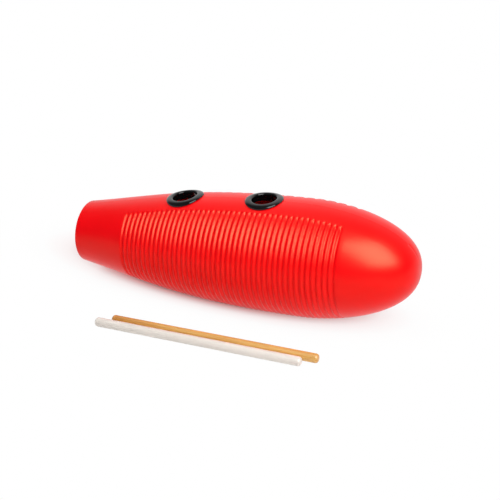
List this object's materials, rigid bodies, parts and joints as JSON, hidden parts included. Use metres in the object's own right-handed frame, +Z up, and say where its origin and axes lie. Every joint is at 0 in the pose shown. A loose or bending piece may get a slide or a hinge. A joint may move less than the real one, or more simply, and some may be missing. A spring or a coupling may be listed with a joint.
{
  "type": "guiro",
  "caption": "Hollow torpedo-shaped plastic guiro with fine and coarse scraping ribs, an open mouth, rubber-lined thumb and finger holes, and loose wooden and plastic rods.",
  "frame": {"origin": "on the floor, under the centre of the whole set's bounding box, with the guiro lying and the scrapers in front of it", "axes": "+X runs along the body from the open mouth to the dome, -Y is the finely ribbed front with the scrapers, +Z is up through the finger holes"},
  "size_m": [0.3362, 0.1622, 0.1111],
  "materials": {
    "red_abs": "satin, injection moulded",
    "black_rubber": "semi-gloss, moulded",
    "lacquered_wood": "clear lacquer",
    "white_nylon": "satin, extruded"
  },
  "bodies": {
    "guiro": {"front_shell": "red_abs", "back_shell": "red_abs", "thumb_grommet": "black_rubber", "finger_grommet": "black_rubber"},
    "wooden_scraper": {"wooden_scraper": "lacquered_wood"},
    "plastic_scraper": {"plastic_scraper": "white_nylon"}
  },
  "joints": [
    {"name": "wooden_scraper_lift", "type": "slide", "parent": "guiro", "child": "wooden_scraper", "axis": [0, 0, 1], "range_m": [0, 0.15]},
    {"name": "plastic_scraper_lift", "type": "slide", "parent": "guiro", "child": "plastic_scraper", "axis": [0, 0, 1], "range_m": [0, 0.15]}
  ]
}
